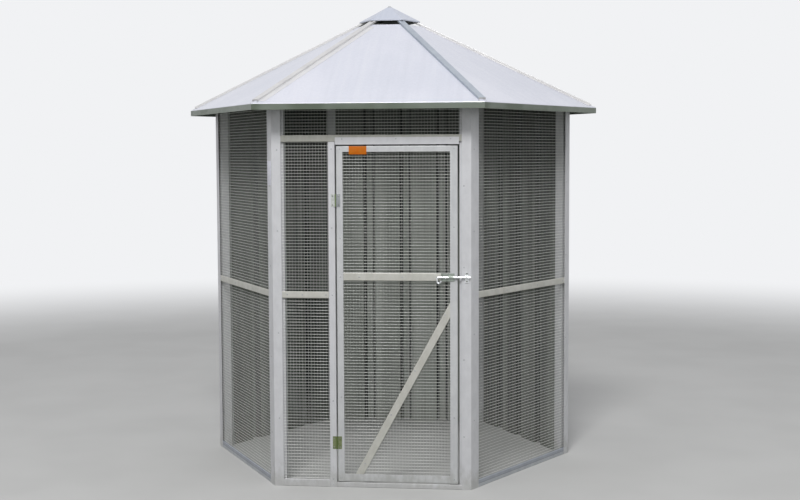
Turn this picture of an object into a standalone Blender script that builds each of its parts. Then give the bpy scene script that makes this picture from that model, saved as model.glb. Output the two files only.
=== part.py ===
"""Hexagonal garden aviary: folded steel posts and rails, welded wire panels on the
front and sides, ribbed sheets at the back, a six-sided roof under a raised vent cap,
and a braced door on two butt hinges with a sliding bolt.

Metres, +Z up. The origin is the centre of the plan hexagon on the ground and the
door faces -Y. Each wall piece is drawn for the front face and turned about +Z to
the face that it belongs to.
"""

import math

import bmesh
import bpy
from mathutils import Matrix, Vector
from mathutils.geometry import tessellate_polygon

# Plan and heights
SIDE = 0.830  # side of the plan hexagon, over the posts' outer faces
POST_HEIGHT = 1.6605
HIP_SLOPE = 0.477  # rise of the roof per unit of radius, along a hip
OVERHANG = 0.1195  # from a post's corner to the eave's corner, along the radius

# Sheet thicknesses and fits
SHEET = 0.0016  # posts, rails and the door's frame
ROOF_SHEET = 0.0010
WALL_SHEET = 0.0010
FOLD = 0.0020  # outer radius of a fold in posts, rails, flashings and door frame
FIT = 0.0003  # clearance between pieces that touch when riveted
HIP_JOINT = 0.0006  # joint between two roof sheets under a ridge flashing

# Posts
POST_NARROW = 0.039  # flange beside the door, and on each post's matching side
POST_WIDE = 0.057  # the post's other flange
POST_SLOT = 0.014  # from the corner to the bottom of the slot that holds the panel
CORE_WIDTH = 0.049  # box behind the flanges, along each face
CORE_DEPTH = 0.0345
CORE_WALL = 0.0020

# Rails
RAIL_DEPTH = 0.0060
BASE_RAIL_HEIGHT = 0.0310
TOP_RAIL_HEIGHT = 0.0450
MID_RAIL_HEIGHT = 0.0275
MID_RAIL_BOTTOM = 0.7990

# Doorway in the front face
DOOR_WIDTH = 0.503
DOOR_DEPTH = 0.0160
LATCH_GAP = 0.0170  # from the door's edge to the post's flange
HINGE_GAP = 0.0060
SILL_GAP = 0.0055
HEAD_GAP = 0.0060
THRESHOLD_HEIGHT = 0.0205
MULLION_WIDTH = 0.0280
HEAD_STRIP_HEIGHT = 0.0300
HEAD_STRIP_LAP = 0.0180  # how far the head strip laps up the transom rail
HEAD_STRIP_PAST = 0.0060  # how far the head strip runs on past the door's latch edge
TRANSOM_HEIGHT = 0.0280
TRANSOM_OPENING = 0.1385  # between the transom rail and the top rail

# Door frame
HINGE_STILE_WIDTH = 0.0270
LATCH_STILE_WIDTH = 0.0310
DOOR_TOP_HEIGHT = 0.0240
DOOR_BOTTOM_HEIGHT = 0.0310
DOOR_MID_HEIGHT = 0.0315
DOOR_MID_RISE = 0.8475  # mid rail's lower edge above the door's foot
BRACE_WIDTH = 0.0310
BRACE_FOOT = 0.1087  # brace's lower edge at its foot, from the door's hinge edge
BRACE_DROP = 0.1525  # brace's lower edge at the latch stile, below the mid rail

# Welded wire, drawn at eight times the real spacing of the wires
MESH_PITCH = 0.1016
MESH_WIRE = 0.0025
MESH_THICK = 0.0020
MESH_RAISE = 0.0060  # foot of a wall's mesh above the ground

# Ribbed wall sheets
RIB_PITCH = 0.1905
RIB_BASE = 0.0600
RIB_CREST = 0.0340
RIB_HEIGHT = 0.0270
RIB_FOLD = 0.0030
RIBS = 3

# Roof
FASCIA_HEIGHT = 0.0257
EAVE_FOLD = 0.0040
VENT_RADIUS = 0.1580  # corner radius of the opening at the top of the roof
RIDGE_WIDTH = 0.0310
RIDGE_HEIGHT = 0.0060
RIDGE_REACH = 0.0500  # how far a ridge flashing reaches over the vent to carry the cap
RIDGE_SHORT = 0.0250  # how far a ridge flashing stops short of the eave's corner
CAP_RADIUS = 0.1410
CAP_SLOPE = 0.515
CAP_LIP = 0.0050
CAP_FLAT = 0.0140  # corner radius of the flat that takes the bolt

# Cap bolt
BOLT_SHANK = 0.0040
BOLT_HEAD = 0.0075
BOLT_HEAD_THICK = 0.0045
BOLT_NUT_THICK = 0.0065
WASHER = 0.0110
WASHER_THICK = 0.0020
BOLT_HOLE = 0.0048

# Butt hinges
HINGE_HEIGHT = 0.0530
HINGE_LEAF = 0.0190  # from the pin's axis to a leaf's edge
HINGE_THICK = 0.0015
KNUCKLE_RADIUS = 0.0032
PIN_RADIUS = 0.0015
PIN_CLEARANCE = 0.0003
KNUCKLE_GAP = 0.0004
HINGE_STANDOFF = 0.0002  # back of the knuckle in front of the leaf's back
UPPER_HINGE_DROP = 0.2245  # hinge's centre below the door's top
LOWER_HINGE_RISE = 0.1640  # hinge's centre above the door's foot

# Sliding bolt
ROD_RADIUS = 0.0040
ROD_CLEARANCE = 0.0004
ROD_OVER_POST = 0.0370  # how far the rod reaches over the post's flange
ROD_LENGTH = 0.1390
HANDLE_DROP = 0.0300
HANDLE_RAKE = 0.0020  # foot of the grip from the rod's bent end
HANDLE_BEND = 0.0052
HANDLE_HOOK = 0.0190  # tip of the hook from the rod's bent end
STRAP_THICK = 0.0020
STRAP_BEND = 0.0030
PLATE_LENGTH = 0.0560
PLATE_HEIGHT = 0.0330
PLATE_THICK = 0.0020
PLATE_INSET = 0.0130  # plate's end from the door's latch edge
STAPLE_LENGTH = 0.0240
STAPLE_HEIGHT = 0.0280
STAPLE_INSET = 0.0010
KEEPER_WIDTH = 0.0160
KEEPER_HEIGHT = 0.0450
KEEPER_INSET = 0.0130  # keeper's edge from the edge of the post's flange

# Derived places
WALL = SIDE * math.cos(math.pi / 6)  # centre to the walls' outer plane
HALF = SIDE / 2
RAIL_FRONT = SHEET + FIT
RAIL_BACK = RAIL_FRONT + RAIL_DEPTH
MESH_FRONT = RAIL_BACK + FIT
MESH_BACK = MESH_FRONT + MESH_THICK
CORE_FRONT = MESH_BACK + FIT
CORE_BACK = CORE_FRONT + CORE_DEPTH
PANEL_END = HALF - POST_SLOT - FIT

DOOR_RIGHT = HALF - POST_NARROW - LATCH_GAP
DOOR_LEFT = DOOR_RIGHT - DOOR_WIDTH
TRANSOM_BOTTOM = POST_HEIGHT - TOP_RAIL_HEIGHT - TRANSOM_OPENING - TRANSOM_HEIGHT
HEAD_STRIP_BOTTOM = TRANSOM_BOTTOM + HEAD_STRIP_LAP - HEAD_STRIP_HEIGHT
DOOR_TOP = HEAD_STRIP_BOTTOM - HEAD_GAP
DOOR_FOOT = THRESHOLD_HEIGHT + SILL_GAP
MULLION_RIGHT = DOOR_LEFT - HINGE_GAP
MULLION_LEFT = MULLION_RIGHT - MULLION_WIDTH
MESH_JOINT = TRANSOM_BOTTOM + TRANSOM_HEIGHT / 2

FACE_SLOPE = HIP_SLOPE / math.cos(math.pi / 6)
FACE_TILT = math.atan(FACE_SLOPE)
HIP_TILT = math.atan(HIP_SLOPE)
EAVE_RADIUS = SIDE + OVERHANG
EAVE_HEIGHT = POST_HEIGHT + FIT + ROOF_SHEET / math.cos(FACE_TILT) - HIP_SLOPE * OVERHANG
ROOF_PEAK = EAVE_HEIGHT + HIP_SLOPE * EAVE_RADIUS

HINGE_X = DOOR_LEFT - HINGE_GAP / 2
HINGE_DEPTH = -(FIT + HINGE_STANDOFF + KNUCKLE_RADIUS)
ROD_DEPTH = -(FIT + PLATE_THICK + ROD_CLEARANCE + ROD_RADIUS)
ROD_Z = DOOR_FOOT + DOOR_MID_RISE + DOOR_MID_HEIGHT / 2
ROD_END = HALF - POST_NARROW + ROD_OVER_POST
HINGE_AXIS = Vector((HINGE_X, HINGE_DEPTH - WALL, 0.0))

FACES = ("front", "front_right", "back_right", "back", "back_left", "front_left")
POSTS = ("front_right", "right", "back_right", "back_left", "left", "front_left")

# Colours (sRGB), roughness and metallic
POST_PAINT = ((0.735, 0.735, 0.750), 0.48, 0.35)
DOOR_PAINT = ((0.750, 0.750, 0.765), 0.48, 0.35)
RAIL_STEEL = ((0.720, 0.715, 0.665), 0.50, 0.35)
BASE_STEEL = ((0.620, 0.635, 0.680), 0.50, 0.45)
ROOF_STEEL = ((0.865, 0.875, 0.915), 0.42, 0.30)
RIDGE_STEEL = ((0.780, 0.800, 0.830), 0.42, 0.40)
WALL_STEEL = ((0.600, 0.610, 0.620), 0.50, 0.40)
WIRE_STEEL = ((0.760, 0.775, 0.775), 0.40, 0.85)
ZINC_STEEL = ((0.800, 0.810, 0.820), 0.30, 0.90)


def linear(channel):
    """One sRGB channel as linear light."""
    if channel <= 0.04045:
        return channel / 12.92
    return ((channel + 0.055) / 1.055) ** 2.4


def make(name, bm, finish):
    """Puts a bmesh into the scene as one named object with its own material."""
    bmesh.ops.remove_doubles(bm, verts=bm.verts, dist=1e-7)
    bmesh.ops.recalc_face_normals(bm, faces=bm.faces)
    mesh = bpy.data.meshes.new(name)
    bm.to_mesh(mesh)
    bm.free()
    obj = bpy.data.objects.new(name, mesh)
    bpy.context.scene.collection.objects.link(obj)
    colour, roughness, metallic = finish
    material = bpy.data.materials.new(name)
    material.use_nodes = True
    shader = material.node_tree.nodes["Principled BSDF"]
    shader.inputs["Base Color"].default_value = (*map(linear, colour), 1.0)
    shader.inputs["Roughness"].default_value = roughness
    shader.inputs["Metallic"].default_value = metallic
    mesh.materials.append(material)
    return obj


def combine(obj, other, operation):
    """Adds a live Boolean with a helper object that is hidden from renders."""
    other.hide_render = True
    other.display_type = "WIRE"
    boolean = obj.modifiers.new(other.name, "BOOLEAN")
    boolean.operation = operation
    boolean.solver = "EXACT"
    boolean.object = other


def rounded(path, radius, steps=2):
    """An open 2-D path whose inner corners are replaced by arcs."""
    result = [path[0]]
    for before, corner, after in zip(path, path[1:], path[2:]):
        here = Vector(corner)
        back = (Vector(before) - here).normalized()
        ahead = (Vector(after) - here).normalized()
        half = back.angle(ahead) / 2
        reach = radius / math.tan(half)
        centre = here + (back + ahead).normalized() * (radius / math.sin(half))
        start = here + back * reach - centre
        end = here + ahead * reach - centre
        first = math.atan2(start.y, start.x)
        sweep = (math.atan2(end.y, end.x) - first + math.pi) % (2 * math.pi) - math.pi
        for step in range(steps + 1):
            angle = first + sweep * step / steps
            result.append((centre.x + radius * math.cos(angle), centre.y + radius * math.sin(angle)))
    result.append(path[-1])
    return result


def folded(path, thickness):
    """Closed outline of a sheet bent along a 2-D path, thickened to the path's left."""
    points = [Vector(point) for point in path]
    sides = []
    for start, end in zip(points, points[1:]):
        along = (end - start).normalized()
        sides.append(Vector((-along.y, along.x)))
    inner = [points[0] + sides[0] * thickness]
    for point, before, after in zip(points[1:], sides, sides[1:]):
        middle = (before + after).normalized()
        inner.append(point + middle * (thickness / middle.dot(before)))
    inner.append(points[-1] + sides[-1] * thickness)
    return [tuple(point) for point in points + inner[::-1]]


def circle(centre, radius, count=16):
    """Points of a regular polygon that stands for a round outline."""
    angles = [2 * math.pi * (step + 0.5) / count for step in range(count)]
    return [(centre[0] + radius * math.cos(a), centre[1] + radius * math.sin(a)) for a in angles]


def extrude(outline, low, high, axis, holes=()):
    """Prism over an outline, with through holes. Axis X takes (y, z), Y takes (x, z)
    and Z takes (x, y)."""
    place = {
        "X": lambda a, b, level: (level, a, b),
        "Y": lambda a, b, level: (a, level, b),
        "Z": lambda a, b, level: (a, b, level),
    }[axis]
    loops = [outline, *holes]
    bm = bmesh.new()
    rings = []
    for level in (low, high):
        rings.append([[bm.verts.new(place(a, b, level)) for a, b in loop] for loop in loops])
    flat = [[Vector((a, b, 0)) for a, b in loop] for loop in loops]
    for ring in rings:
        corners = [vert for loop in ring for vert in loop]
        if holes:
            for triangle in tessellate_polygon(flat):
                bm.faces.new([corners[index] for index in triangle])
        else:
            bm.faces.new(corners)
    for lower, upper in zip(*rings):
        count = len(lower)
        for index in range(count):
            after = (index + 1) % count
            bm.faces.new((lower[index], lower[after], upper[after], upper[index]))
    return bm


def revolve(profile, count, phase=0.0):
    """Solid of revolution about Z from a closed (radius, z) profile."""
    bm = bmesh.new()
    rings = []
    for step in range(count):
        angle = phase + 2 * math.pi * step / count
        rings.append([bm.verts.new((r * math.cos(angle), r * math.sin(angle), z)) for r, z in profile])
    for here, there in zip(rings, rings[1:] + rings[:1]):
        for index in range(len(profile)):
            after = (index + 1) % len(profile)
            bm.faces.new((here[index], here[after], there[after], there[index]))
    bmesh.ops.remove_doubles(bm, verts=bm.verts, dist=1e-7)
    bmesh.ops.dissolve_degenerate(bm, edges=bm.edges, dist=1e-8)
    return bm


def trim(bm, point, normal):
    """Cuts away what lies beyond a plane and closes the cut."""
    cut = bmesh.ops.bisect_plane(
        bm,
        geom=bm.verts[:] + bm.edges[:] + bm.faces[:],
        plane_co=point,
        plane_no=normal,
        clear_outer=True,
    )
    rim = [item for item in cut["geom_cut"] if isinstance(item, bmesh.types.BMEdge)]
    bmesh.ops.edgeloop_fill(bm, edges=rim)


def turn_to_face(bm, face):
    """Turns geometry drawn for the front face to another face of the hexagon."""
    bmesh.ops.rotate(bm, verts=bm.verts, matrix=Matrix.Rotation(face * math.pi / 3, 3, "Z"))
    return bm


def wall_profile(points):
    """(depth, z) points behind the front face as world (y, z) points."""
    return [(depth - WALL, z) for depth, z in points]


def channel(height, bottom):
    """Rail section in the slot behind the posts' flanges, as (depth, z)."""
    top = bottom + height
    path = [(RAIL_BACK, top), (RAIL_FRONT, top), (RAIL_FRONT, bottom), (RAIL_BACK, bottom)]
    return folded(rounded(path, FOLD), SHEET)


def rail(name, face, bottom, height, left, right, finish):
    """Straight rail of channel section across one face."""
    bm = extrude(wall_profile(channel(height, bottom)), left, right, "X")
    return make(name, turn_to_face(bm, face), finish)


def along_face(corner, face_angle, sign, distance, depth):
    """Plan point at a distance from a corner along a face and a depth behind it."""
    outward = Vector((math.cos(face_angle), math.sin(face_angle)))
    along = Vector((-outward.y, outward.x)) * sign
    return corner + along * distance - outward * depth


def post(name, index):
    """Corner post: two outer flanges, a slot for each panel and a box core behind."""
    angle = -math.pi / 3 + index * math.pi / 3
    corner = Vector((math.cos(angle), math.sin(angle))) * SIDE
    before = angle - math.pi / 6
    after = angle + math.pi / 6
    wide_before = index >= len(POSTS) // 2
    flange_before = POST_WIDE if wide_before else POST_NARROW
    flange_after = POST_NARROW if wide_before else POST_WIDE

    def half(face_angle, sign, flange):
        steps = [
            (flange, 0.0),
            (flange, SHEET),
            (POST_SLOT, SHEET),
            (POST_SLOT, CORE_FRONT),
            (CORE_WIDTH, CORE_FRONT),
            (CORE_WIDTH, CORE_BACK),
        ]
        return [along_face(corner, face_angle, sign, *step) for step in steps]

    side_after = half(after, 1, flange_after)
    side_before = half(before, -1, flange_before)
    fold = rounded([side_before[0], corner, side_after[0]], FOLD)[1:-1]
    outline = [*fold, *side_after, *side_before[::-1]]
    inner = CORE_WIDTH - CORE_WALL
    front = CORE_FRONT + CORE_WALL
    back = CORE_BACK - CORE_WALL
    hole = [
        along_face(corner, after, 1, front * math.tan(math.pi / 6), front),
        along_face(corner, after, 1, inner, front),
        along_face(corner, after, 1, inner, back),
        along_face(corner, before, -1, inner, back),
        along_face(corner, before, -1, inner, front),
    ]
    bm = extrude([tuple(p) for p in outline], 0.0, POST_HEIGHT, "Z", [[tuple(p) for p in hole]])
    return make(name, bm, POST_PAINT)


def wire_net(name, face, left, right, bottom, top, finish):
    """Flat square net: a grid whose cells between the wires are left out."""

    def edges(low, high):
        count = max(1, round((high - low) / MESH_PITCH))
        pitch = (high - low - MESH_WIRE) / count
        starts = [low + pitch * index for index in range(count + 1)]
        return [value for start in starts for value in (start, start + MESH_WIRE)]

    columns = edges(left, right)
    rows = edges(bottom, top)
    bm = bmesh.new()
    grid = [[bm.verts.new((x, MESH_BACK - WALL, z)) for x in columns] for z in rows]
    for j in range(len(rows) - 1):
        for i in range(len(columns) - 1):
            if i % 2 == 0 or j % 2 == 0:
                bm.faces.new((grid[j][i], grid[j][i + 1], grid[j + 1][i + 1], grid[j + 1][i]))
    obj = make(name, bm, finish)
    facing = sum((polygon.normal for polygon in obj.data.polygons), Vector()).y
    if facing > 0:
        obj.data.flip_normals()
    obj.data.transform(Matrix.Rotation(face * math.pi / 3, 4, "Z"))
    solid = obj.modifiers.new("thickness", "SOLIDIFY")
    solid.thickness = MESH_THICK
    solid.offset = 1.0
    return obj


def ribbed_sheet(name, face):
    """Wall sheet with trapezoidal ribs whose crests touch the rails in front."""
    end = HALF - CORE_WIDTH - FIT
    crest = MESH_FRONT
    pan = crest + RIB_HEIGHT
    path = [(-end, pan)]
    for index in range(RIBS):
        centre = (index - (RIBS - 1) / 2) * RIB_PITCH
        path += [
            (centre - RIB_BASE / 2, pan),
            (centre - RIB_CREST / 2, crest),
            (centre + RIB_CREST / 2, crest),
            (centre + RIB_BASE / 2, pan),
        ]
    path.append((end, pan))
    outline = folded(rounded(path, RIB_FOLD), WALL_SHEET)
    bm = extrude([(x, depth - WALL) for x, depth in outline], 0.0, POST_HEIGHT, "Z")
    return make(name, turn_to_face(bm, face), WALL_STEEL)


def roof_height(radius):
    """Top of the roof sheets on a hip at a plan radius."""
    return ROOF_PEAK - HIP_SLOPE * radius


def roof_sheet(name, face):
    """Sloping sheet with its eave folded down, mitred on both hips."""
    eave = EAVE_RADIUS * math.cos(math.pi / 6)
    vent = VENT_RADIUS * math.cos(math.pi / 6)
    path = [
        (-vent, roof_height(VENT_RADIUS)),
        (-eave, EAVE_HEIGHT),
        (-eave, EAVE_HEIGHT - FASCIA_HEIGHT),
    ]
    outline = folded(rounded(path, EAVE_FOLD, 4), ROOF_SHEET)
    bm = extrude(outline, -EAVE_RADIUS, EAVE_RADIUS, "X")
    for sign in (-1, 1):
        normal = Vector((sign * math.cos(math.pi / 6), math.sin(math.pi / 6), 0.0))
        trim(bm, -normal * HIP_JOINT / 2, normal)
    return make(name, turn_to_face(bm, face), ROOF_STEEL)


def ridge_flashing(name, index):
    """Inverted channel that straddles the joint of two roof sheets on a hip."""
    fall = math.asin(math.sin(FACE_TILT) / 2)
    wall = RIDGE_WIDTH / 2
    foot = FIT / math.cos(fall) - math.tan(fall) * (wall - ROOF_SHEET)
    path = [(wall, foot), (wall, RIDGE_HEIGHT), (-wall, RIDGE_HEIGHT), (-wall, foot)]
    outline = folded(rounded(path, FOLD), ROOF_SHEET)
    start = (VENT_RADIUS - RIDGE_REACH) / math.cos(HIP_TILT)
    end = (EAVE_RADIUS - RIDGE_SHORT) / math.cos(HIP_TILT)
    bm = extrude(outline, start, end, "X")
    angle = -math.pi / 3 + index * math.pi / 3
    along = Vector((math.cos(HIP_TILT), 0.0, -math.sin(HIP_TILT)))
    across = Vector((0.0, 1.0, 0.0))
    frame = Matrix((along, across, along.cross(across))).transposed().to_4x4()
    place = Matrix.Translation((0.0, 0.0, ROOF_PEAK)) @ Matrix.Rotation(angle, 4, "Z") @ frame
    bmesh.ops.transform(bm, matrix=place, verts=bm.verts)
    return make(name, bm, RIDGE_STEEL)


def cap_levels():
    """Lower edge, flat top and underside of the vent cap."""
    meeting = CAP_RADIUS - ROOF_SHEET - (RIDGE_WIDTH / 2 - FOLD) * math.tan(math.pi / 6)
    bottom = roof_height(meeting) + RIDGE_HEIGHT / math.cos(HIP_TILT) + FIT
    top = bottom + CAP_LIP + CAP_SLOPE * (CAP_RADIUS - CAP_FLAT)
    return bottom, top, top - ROOF_SHEET


def vent_cap():
    """Six-sided cap that stands on the ridge flashings and leaves the vent open."""
    bottom, top, _ = cap_levels()
    path = [
        (CAP_RADIUS, bottom),
        (CAP_RADIUS, bottom + CAP_LIP),
        (CAP_FLAT, top),
        (BOLT_HOLE, top),
    ]
    return make("vent_cap", revolve(folded(path, ROOF_SHEET), 6), ROOF_STEEL)


def cap_bolt():
    """Bolt, washer and nut through the flat of the cap."""
    _, top, under = cap_levels()
    seat = top + FIT
    head = seat + WASHER_THICK
    nut = under - FIT
    profile = [
        (0.0, head + BOLT_HEAD_THICK),
        (BOLT_HEAD * 0.75, head + BOLT_HEAD_THICK),
        (BOLT_HEAD, head + BOLT_HEAD_THICK * 0.7),
        (BOLT_HEAD, head),
        (WASHER, head),
        (WASHER, seat),
        (BOLT_SHANK, seat),
        (BOLT_SHANK, nut),
        (BOLT_HEAD, nut),
        (BOLT_HEAD, nut - BOLT_NUT_THICK),
        (0.0, nut - BOLT_NUT_THICK),
    ]
    return make("cap_bolt", revolve(profile, 12), ZINC_STEEL)


def stile(name, outer, width, sign):
    """Upright of the door: angle section with its leg on the door's outer edge."""
    path = [(outer, DOOR_DEPTH), (outer, 0.0), (outer + sign * width, 0.0)]
    if sign < 0:
        path = path[::-1]
    outline = [(x, depth - WALL) for x, depth in folded(rounded(path, FOLD), SHEET)]
    return make(name, extrude(outline, DOOR_FOOT, DOOR_TOP, "Z"), DOOR_PAINT)


def door_rail(name, outer, height, sign):
    """Head or foot of the door: angle section between the stiles' legs."""
    path = [(DOOR_DEPTH, outer), (RAIL_FRONT, outer), (RAIL_FRONT, outer + sign * height)]
    if sign > 0:
        path = path[::-1]
    outline = wall_profile(folded(rounded(path, FOLD), SHEET))
    return make(name, extrude(outline, *door_clear_width(), "X"), DOOR_PAINT)


def door_clear_width():
    """Left and right ends of what lies between the legs of the stiles."""
    return DOOR_LEFT + SHEET + FIT, DOOR_RIGHT - SHEET - FIT


def door_mid_rail():
    """Rail across the door behind the stiles' flanges."""
    outline = wall_profile(channel(DOOR_MID_HEIGHT, DOOR_FOOT + DOOR_MID_RISE))
    return make("door_mid_rail", extrude(outline, *door_clear_width(), "X"), RAIL_STEEL)


def door_brace():
    """Diagonal channel from the foot of the door up to the latch stile."""
    foot = Vector((DOOR_LEFT + BRACE_FOOT, DOOR_FOOT + DOOR_BOTTOM_HEIGHT + FIT))
    head = Vector((DOOR_RIGHT - LATCH_STILE_WIDTH - FIT, DOOR_FOOT + DOOR_MID_RISE - BRACE_DROP))
    run = head - foot
    along = Vector((run.x, 0.0, run.y)).normalized()
    across = Vector((-along.z, 0.0, along.x))
    path = [
        (0.0, RAIL_BACK),
        (0.0, RAIL_FRONT),
        (BRACE_WIDTH, RAIL_FRONT),
        (BRACE_WIDTH, RAIL_BACK),
    ]
    bm = extrude(folded(rounded(path, FOLD), SHEET), -run.length, run.length * 2, "X")
    frame = Matrix((along, across, Vector((0.0, 1.0, 0.0)))).transposed().to_4x4()
    place = Matrix.Translation((foot.x, -WALL, foot.y)) @ frame
    bmesh.ops.transform(bm, matrix=place, verts=bm.verts)
    trim(bm, Vector((0.0, 0.0, foot.y)), Vector((0.0, 0.0, -1.0)))
    trim(bm, Vector((head.x, 0.0, 0.0)), Vector((1.0, 0.0, 0.0)))
    return make("door_brace", bm, RAIL_STEEL)


def mullion():
    """Upright between the fixed panel and the door."""
    path = [
        (MULLION_LEFT, RAIL_BACK),
        (MULLION_LEFT, 0.0),
        (MULLION_RIGHT, 0.0),
        (MULLION_RIGHT, RAIL_BACK),
    ]
    outline = [(x, depth - WALL) for x, depth in folded(rounded(path, FOLD), SHEET)]
    return make("door_mullion", extrude(outline, 0.0, TRANSOM_BOTTOM - FIT, "Z"), DOOR_PAINT)


def head_strip():
    """Flat strip over the door, lapped on the transom rail."""
    left = MULLION_RIGHT + SHEET
    right = DOOR_RIGHT + HEAD_STRIP_PAST
    top = HEAD_STRIP_BOTTOM + HEAD_STRIP_HEIGHT
    outline = [(left, HEAD_STRIP_BOTTOM), (right, HEAD_STRIP_BOTTOM), (right, top), (left, top)]
    return make("door_head_strip", extrude(outline, -WALL, SHEET - WALL, "Y"), DOOR_PAINT)


def hinge_leaf_outline(sign, bottom, own_knuckles):
    """(x, z) outline of a leaf whose edge is notched for the other leaf's knuckles."""
    third = HINGE_HEIGHT / 3
    notch = KNUCKLE_RADIUS + KNUCKLE_GAP
    levels = [bottom, bottom + third, bottom + 2 * third, bottom + HINGE_HEIGHT]
    edge = []
    for index, (low, high) in enumerate(zip(levels, levels[1:])):
        own = index in own_knuckles
        reach = 0.0 if own else notch
        trim_low = KNUCKLE_GAP / 2 * (1 if own else -1) if index > 0 else 0.0
        trim_high = KNUCKLE_GAP / 2 * (1 if own else -1) if index < 2 else 0.0
        edge.append((HINGE_X + sign * reach, low + trim_low))
        edge.append((HINGE_X + sign * reach, high - trim_high))
    outer = HINGE_X + sign * HINGE_LEAF
    return [*edge, (outer, levels[-1]), (outer, bottom)]


def hinge_leaf(name, sign, bottom, own_knuckles):
    """Leaf plate with its knuckles; the frame's leaf also carries the pin."""
    outline = hinge_leaf_outline(sign, bottom, own_knuckles)
    plate = extrude(outline, -WALL - FIT - HINGE_THICK, -WALL - FIT, "Y")
    leaf = make(name, plate, ZINC_STEEL)
    centre = (HINGE_AXIS.x, HINGE_AXIS.y)
    third = HINGE_HEIGHT / 3
    holds_pin = len(own_knuckles) > 1
    bore = [] if holds_pin else [circle(centre, PIN_RADIUS + PIN_CLEARANCE, 12)]
    helpers = []
    for index in own_knuckles:
        low = bottom + third * index + (KNUCKLE_GAP / 2 if index > 0 else 0.0)
        high = bottom + third * (index + 1) - (KNUCKLE_GAP / 2 if index < 2 else 0.0)
        barrel = extrude(circle(centre, KNUCKLE_RADIUS), low, high, "Z", bore)
        helpers.append(make(f"{name}_knuckle_{index}", barrel, ZINC_STEEL))
    if holds_pin:
        inset = third / 4
        ends = (bottom + inset, bottom + HINGE_HEIGHT - inset)
        helpers.append(make(f"{name}_pin", extrude(circle(centre, PIN_RADIUS, 12), *ends, "Z"), ZINC_STEEL))
    for helper in helpers:
        combine(leaf, helper, "UNION")
    return [leaf, *helpers]


def strap_outline(back, height):
    """(depth, z) outline of a strap with flat tabs that arches over the rod."""
    inside = ROD_RADIUS + ROD_CLEARANCE
    crest = ROD_DEPTH - inside
    path = [
        (back, ROD_Z - height / 2),
        (back, ROD_Z - inside),
        (crest, ROD_Z - inside),
        (crest, ROD_Z + inside),
        (back, ROD_Z + inside),
        (back, ROD_Z + height / 2),
    ]
    return wall_profile(folded(rounded(path, STRAP_BEND, 4), STRAP_THICK))


def bolt_plate():
    """Plate on the door's edge with the staple that guides the rod."""
    right = DOOR_RIGHT - PLATE_INSET
    left = right - PLATE_LENGTH
    low = ROD_Z - PLATE_HEIGHT / 2
    high = ROD_Z + PLATE_HEIGHT / 2
    outline = [(left, low), (right, low), (right, high), (left, high)]
    plate = make(
        "bolt_plate", extrude(outline, -WALL - FIT - PLATE_THICK, -WALL - FIT, "Y"), ZINC_STEEL
    )
    strap = strap_outline(-FIT - PLATE_THICK / 2, STAPLE_HEIGHT)
    ends = (right - STAPLE_INSET - STAPLE_LENGTH, right - STAPLE_INSET)
    staple = make("bolt_plate_staple", extrude(strap, *ends, "X"), ZINC_STEEL)
    combine(plate, staple, "UNION")
    return [plate, staple]


def bolt_keeper():
    """Strap on the post that holds the end of the rod."""
    left = HALF - POST_NARROW + KEEPER_INSET
    strap = strap_outline(-FIT, KEEPER_HEIGHT)
    return make("bolt_keeper", extrude(strap, left, left + KEEPER_WIDTH, "X"), ZINC_STEEL)


def bolt_rod():
    """Round rod with its end bent down and hooked back as a finger grip."""
    left = ROD_END - ROD_LENGTH
    path = [
        (ROD_END, ROD_Z),
        (left, ROD_Z),
        (left + HANDLE_RAKE, ROD_Z - HANDLE_DROP),
        (left + HANDLE_HOOK, ROD_Z - HANDLE_DROP / 2),
    ]
    points = [Vector(point) for point in rounded(path, HANDLE_BEND, 4)]
    runs = [(after - before).normalized() for before, after in zip(points, points[1:])]
    runs = [runs[0], *runs, runs[-1]]
    bm = bmesh.new()
    rings = []
    for point, before, after in zip(points, runs, runs[1:]):
        middle = (before + after).normalized()
        across = Vector((-middle.y, middle.x)) / middle.dot(before)
        ring = []
        for a, b in circle((0.0, 0.0), ROD_RADIUS, 12):
            ring.append(bm.verts.new((point.x + across.x * a, ROD_DEPTH - WALL + b, point.y + across.y * a)))
        rings.append(ring)
    for here, there in zip(rings, rings[1:]):
        for index in range(len(here)):
            after = (index + 1) % len(here)
            bm.faces.new((here[index], here[after], there[after], there[index]))
    bm.faces.new(rings[0])
    bm.faces.new(rings[-1])
    return make("bolt_rod", bm, ZINC_STEEL)


def axis_empty(name, place):
    """Empty that marks a joint's axis."""
    empty = bpy.data.objects.new(name, None)
    empty.location = place
    bpy.context.scene.collection.objects.link(empty)
    return empty


def hang(objects, pivot, place):
    """Parents pieces to a joint's empty without moving them."""
    for obj in objects:
        obj.parent = pivot
        obj.matrix_parent_inverse = Matrix.Translation(-Vector(place))


def build_walls():
    """Posts, rails, wire panels and ribbed sheets of the fixed walls."""
    for index, name in enumerate(POSTS):
        post(f"post_{name}", index)
    for face, name in enumerate(FACES):
        top_bottom = POST_HEIGHT - TOP_RAIL_HEIGHT
        rail(f"top_rail_{name}", face, top_bottom, TOP_RAIL_HEIGHT, -PANEL_END, PANEL_END, POST_PAINT)
        if face:
            rail(f"base_rail_{name}", face, 0.0, BASE_RAIL_HEIGHT, -PANEL_END, PANEL_END, BASE_STEEL)
    for name in ("front_right", "front_left"):
        face = FACES.index(name)
        rail(
            f"mid_rail_{name}", face, MID_RAIL_BOTTOM, MID_RAIL_HEIGHT, -PANEL_END, PANEL_END, RAIL_STEEL
        )
        wire_net(
            f"mesh_{name}", face, -PANEL_END, PANEL_END, MESH_RAISE, POST_HEIGHT - MESH_RAISE, WIRE_STEEL
        )
    for name in ("back_right", "back", "back_left"):
        ribbed_sheet(f"wall_sheet_{name}", FACES.index(name))


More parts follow.
